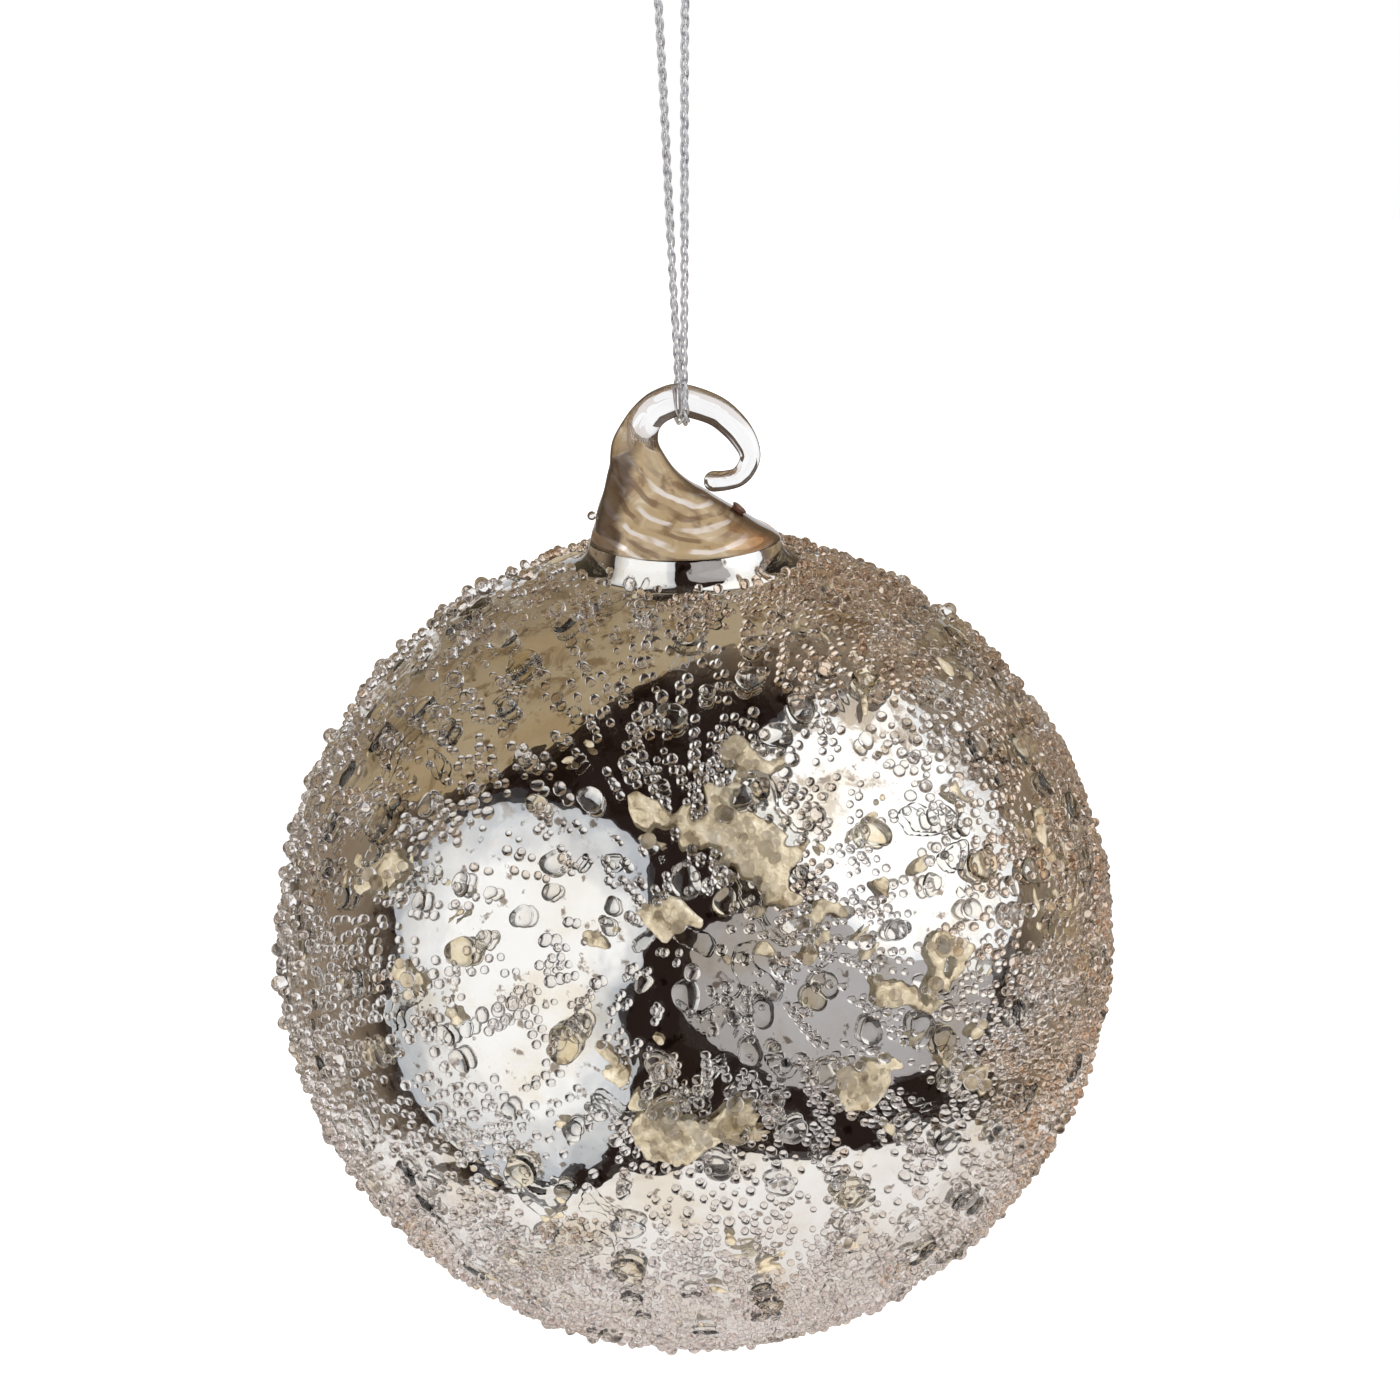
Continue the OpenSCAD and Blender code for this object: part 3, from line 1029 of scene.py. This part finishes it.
def add_nuggets():
    clear = clear_glass("clear_nuggets", (0.985, 0.98, 0.97), (0.95, 0.93, 0.89), 3 * MM, 0.0)
    warm = clear_glass(
        "champagne_nuggets", (0.97, 0.93, 0.84), (0.90, 0.82, 0.66), 2 * MM, 0.0
    )
    for name, count, material, low, high in [
        ("clear_nuggets", 430, clear, 0.6, 1.6),
        ("champagne_nuggets", 80, warm, 0.9, 1.9),
    ]:
        places = spread(count, 2.2 * MM)
        places = places[below_collar(places, 0.05)]
        radii = RNG.uniform(low, high, len(places)) * MM
        heights = radii * RNG.uniform(0.35, 0.55, len(places))
        piece = make_piece(name, *nugget_mesh(places, radii, heights), material)
        stand_for(piece, "ornament", "nugget_glass", "glass_nuggets")


add_nuggets()

# ---------------------------------------------------------------- adhesive

PUDDLE_GAP = 0.012 * MM


def puddle_depth(directions, share, size, seed):
    """Depth up to 1 of puddles that cover about a share of the ball, and below 0 outside."""
    field = 0.62 * lumps(directions, size, seed) + 0.38 * lumps(directions, size / 3, seed + 1)
    depth = (field - (1.02 - share)) / 0.22
    return np.where(below_collar(directions, 0.01), np.minimum(depth, 1), -1)


def champagne_depth(directions):
    share = 0.20 + 0.12 * smooth_step(directions[:, 1], 0, 0.3) + 0.42 * near_patches(directions)
    return puddle_depth(directions, share, 5 * MM, 6)


def clear_depth(directions):
    return puddle_depth(directions, 0.30, 7 * MM, 21)


def to_shoreline(directions, faces, depth):
    """The directions, with the dry corners of the faces moved to where the depth is 0."""
    edges = np.concatenate([faces[:, pair] for pair in ([0, 1], [1, 2], [2, 0])])
    edges = np.concatenate([edges, edges[:, ::-1]])
    dry, wet = edges[(depth[edges[:, 0]] <= 0) & (depth[edges[:, 1]] > 0)].T
    way = (depth[dry] / (depth[dry] - depth[wet]))[:, None]
    total, count = np.zeros_like(directions), np.zeros(len(directions))
    np.add.at(total, dry, directions[dry] * (1 - way) + directions[wet] * way)
    np.add.at(count, dry, 1)
    moved = directions.copy()
    moved[count > 0] = total[count > 0] / count[count > 0, None]
    return moved / np.linalg.norm(moved, axis=1)[:, None]


def add_puddles(name, depth, thickness, material):
    """A closed skin over and under each puddle, from a depth for each direction."""
    directions, faces = unit_ball(8)
    depths = depth(directions)
    used, wet = np.unique(faces[(depths[faces] > 0).any(1)], return_inverse=True)
    wet, depths = wet.reshape(-1, 3), depths[used]
    directions = to_shoreline(directions[used], wet, depths)
    wave = 0.4 + 0.6 * lumps(directions, 1.1 * MM, 8)
    outer, _ = on_ball(directions, PUDDLE_GAP + thickness * np.maximum(depths, 0) ** 0.7 * wave)
    base, _ = on_ball(directions, PUDDLE_GAP)
    count = len(used)
    under = np.where(depths <= 0, np.arange(count), count + np.arange(count))
    triangles = np.concatenate([wet, under[wet][:, ::-1]])
    kept, triangles = np.unique(triangles, return_inverse=True)
    points = np.concatenate([outer, base])[kept]
    piece = make_piece(name, points, triangles.reshape(-1, 3), material)
    stand_for(piece, "ornament", "adhesive", "bead_adhesive")


def add_resin():
    add_puddles("champagne_puddles", champagne_depth, 0.34 * MM, champagne_resin_painted_glow())
    clear = clear_glass(
        "clear_resin", (0.99, 0.985, 0.97), (0.96, 0.95, 0.92), 4 * MM, 0.0, IOR=1.48
    )
    add_puddles("clear_puddles", clear_depth, 0.13 * MM, clear)


add_resin()

# ---------------------------------------------------------------- studio

# Where the ball mirrors the studio's lights to the viewer: outlines of (across, up), in ball
# radii. The sheets reach from their outline to the ball's edge.
LEFT_SOFTBOX = [
    (-0.54, 0.33), (-0.42, 0.37), (-0.29, 0.34), (-0.10, 0.20), (-0.12, -0.02), (-0.18, -0.16),
    (-0.16, -0.34), (-0.24, -0.50), (-0.38, -0.58), (-0.54, -0.50), (-0.66, -0.38),
    (-0.71, -0.12), (-0.70, 0.12), (-0.64, 0.27),
]
RIGHT_SOFTBOX = [
    (0.39, 0.62), (0.52, 0.59), (0.65, 0.44), (0.74, 0.27), (0.775, 0.06), (0.71, -0.09),
    (0.56, -0.07), (0.38, 0.00), (0.32, 0.14), (0.20, 0.23), (0.10, 0.33), (0.15, 0.47),
    (0.26, 0.57),
]
RIGHT_SKIRT = [
    (0.16, 0.10), (0.37, 0.05), (0.67, -0.05), (0.71, -0.14), (0.66, -0.28), (0.56, -0.32),
    (0.37, -0.36), (0.18, -0.31), (0.03, -0.21), (0.00, -0.09), (0.04, 0.03),
]
CEILING_EDGE = [
    (-0.93, 0.28), (-0.87, 0.33), (-0.64, 0.39), (-0.47, 0.45), (-0.30, 0.54), (-0.04, 0.67),
    (0.26, 0.76), (0.48, 0.77), (0.63, 0.69), (0.76, 0.55), (0.84, 0.40), (0.86, 0.20),
    (0.86, 0.00), (0.89, -0.18),
]
TABLE_EDGE = [
    (-0.93, -0.30), (-0.87, -0.385), (-0.70, -0.50), (-0.47, -0.60), (-0.17, -0.57),
    (0.05, -0.52), (0.37, -0.51), (0.58, -0.46), (0.75, -0.47), (0.88, -0.34), (0.94, -0.22),
]
CARD_RINGS = 9
FLOOR_DROP = 0.12
FLOOR_SIDE, FLOOR_FRONT, FLOOR_BACK = 0.6, -0.125, 0.9
DARK_STUDIO = (0.09, 0.065, 0.05)


def glow(name, strength, colour, rim_colour, start, direct=None):
    """Emission that is colour inside, and from the start share outwards turns rim_colour.
    direct is its colour seen through clear glass alone."""
    material = bpy.data.materials.new(name)
    nodes = Nodes(material)
    nodes.tree.nodes.clear()
    rim = nodes.node("Attribute", attribute_name="rim").outputs["Fac"]
    cloud = nodes.node("TexNoise", [("Scale", 7)]).outputs["Fac"]
    outward = nodes.node("Math", [(0, cloud), (1, 0.5), (2, rim)], operation="MULTIPLY_ADD")
    share = nodes.maths("DIVIDE", outward.outputs[0], 1.25)
    tone = nodes.ramp(share, (start, colour), (1, rim_colour))
    if direct:
        path = nodes.node("LightPath").outputs
        bounces = [(0, path["Glossy Depth"]), (1, path["Diffuse Depth"])]
        bounced = nodes.node("Math", bounces, operation="ADD", use_clamp=True).outputs[0]
        tone = nodes.mix(bounced, rgb(*direct), tone)
    light = nodes.node("Emission", [("Color", tone), ("Strength", strength)]).outputs[0]
    nodes.node("OutputMaterial", [("Surface", light)])
    return material


def add_card(name, inner, outer, distance, material, wrap=True):
    """A curved sheet round the ball that glows and that the camera doesn't see directly. The
    ball mirrors it between two outlines, which close on themselves if wrap."""
    inner, outer = np.asarray(inner, float), np.asarray(outer, float)
    if wrap:
        inner, outer = (np.concatenate([rows, rows[:1]]) for rows in (inner, outer))
    inner, outer = refined(inner, 5), refined(outer, 5)
    shares = np.linspace(0, 1, CARD_RINGS)
    points = [
        BALL_CENTRE + mirrored(*(low * (1 - share) + high * share)) * distance
        for share in shares
        for low, high in zip(inner, outer)
    ]
    across = len(outer)
    a = (np.arange(CARD_RINGS - 1)[:, None] * across + np.arange(across - 1)[None, :]).ravel()
    triangles = np.concatenate(
        [np.stack([a, a + 1, a + across + 1], -1), np.stack([a, a + across + 1, a + across], -1)]
    )
    card = make_piece(name, [tuple(p) for p in points], triangles, material)
    rim = card.data.attributes.new("rim", "FLOAT", "POINT")
    rim.data.foreach_set("value", np.repeat(shares, across))
    card.visible_camera = False
    card.visible_shadow = False


def add_panel(name, outline, distance, material):
    """A card inside an outline."""
    middle = np.mean(outline, axis=0)
    add_card(name, [middle] * len(outline), outline, distance, material)


def add_sheet(name, edge, reach, distance, material):
    """A card from an edge out to where the ball mirrors it near its own edge, at reach."""
    edge = np.asarray(edge, float)
    outer = edge * (reach / np.linalg.norm(edge, axis=1))[:, None]
    add_card(name, edge, outer, distance, material, wrap=False)


def add_floor():
    """A plain pale floor, which the glass neither mirrors nor refracts."""
    pale = Surface(
        "pale_floor",
        Base_Color=rgb(0.9, 0.9, 0.9),
        Roughness=0.7,
        Emission_Color=rgb(1.0, 0.985, 0.98),
        Emission_Strength=0.9,
    )
    points = [
        (x, y, BALL_Z - FLOOR_DROP)
        for x, y in (
            (-FLOOR_SIDE, FLOOR_FRONT), (FLOOR_SIDE, FLOOR_FRONT),
            (FLOOR_SIDE, FLOOR_BACK), (-FLOOR_SIDE, FLOOR_BACK),
        )
    ]
    floor = make_piece("pale_floor", points, [(0, 1, 2), (0, 2, 3)], pale.material)
    floor.visible_glossy = False
    floor.visible_transmission = False


def add_world():
    """White all round at the object's height. Through clear glass it is brown above that, and
    mirrors show a dark studio with a beige and white rear."""
    world = bpy.data.worlds.new("studio")
    bpy.context.scene.world = world
    nodes = Nodes(world)
    nodes.tree.nodes.clear()

    def background(*colour):
        return nodes.node("Background", [("Color", rgb(*colour))]).outputs[0]

    def mixed(factor, a, b):
        return nodes.node("MixShader", [(0, factor), (1, a), (2, b)]).outputs[0]

    path = nodes.node("LightPath").outputs
    place = nodes.node("TexCoord").outputs["Generated"]
    way = nodes.node("SeparateXYZ", [(0, place)]).outputs
    backdrop = nodes.mask(way["Z"], 0.36, 0.10)
    refracted = nodes.maths("GREATER_THAN", path["Transmission Depth"], 0.5)
    straight = nodes.maths("LESS_THAN", path["Diffuse Depth"], 0.5)
    hidden = nodes.maths("MULTIPLY", refracted, nodes.maths("SUBTRACT", straight, backdrop))
    seen = mixed(hidden, background(1, 1, 1), background(0.07, 0.045, 0.035))
    reflected = nodes.maths("GREATER_THAN", path["Glossy Depth"], 0.5)
    rear = nodes.mask(way["Y"], 0.0, 0.6)
    studio = mixed(rear, background(0.022, 0.014, 0.012), background(0.26, 0.20, 0.145))
    studio = mixed(nodes.mask(way["Y"], 0.93, 0.985), studio, background(1, 1, 1))
    nodes.node("OutputWorld", [("Surface", mixed(reflected, seen, studio))])
    world.cycles.sampling_method = "NONE"


def add_studio():
    add_world()
    add_floor()
    white = (1.0, 1.0, 1.0)
    add_panel(
        "left_softbox", LEFT_SOFTBOX, 0.7,
        glow("left_glow", 1.05, white, (0.5, 0.53, 0.58), 0.68),
    )
    add_panel(
        "right_softbox", RIGHT_SOFTBOX, 0.7,
        glow("right_glow", 1.3, white, (0.72, 0.74, 0.77), 0.75),
    )
    add_panel(
        "right_skirt", RIGHT_SKIRT, 0.72,
        glow("skirt_glow", 1.0, (0.47, 0.455, 0.465), (0.41, 0.39, 0.395), 0.6),
    )
    add_sheet(
        "beige_ceiling", CEILING_EDGE, 0.97, 0.9,
        glow("beige_glow", 1.0, (0.42, 0.335, 0.215), (0.26, 0.20, 0.125), 0.35, DARK_STUDIO),
    )
    add_sheet(
        "table_sheet", TABLE_EDGE, 0.995, 0.8,
        glow("table_glow", 1.0, (0.96, 0.94, 0.935), (0.80, 0.75, 0.72), 0.3),
    )
    scene = bpy.context.scene
    scene.view_settings.view_transform = "Standard"
    scene.cycles.max_bounces = 20
    scene.cycles.transmission_bounces = 20
    scene.cycles.glossy_bounces = 10


add_studio()
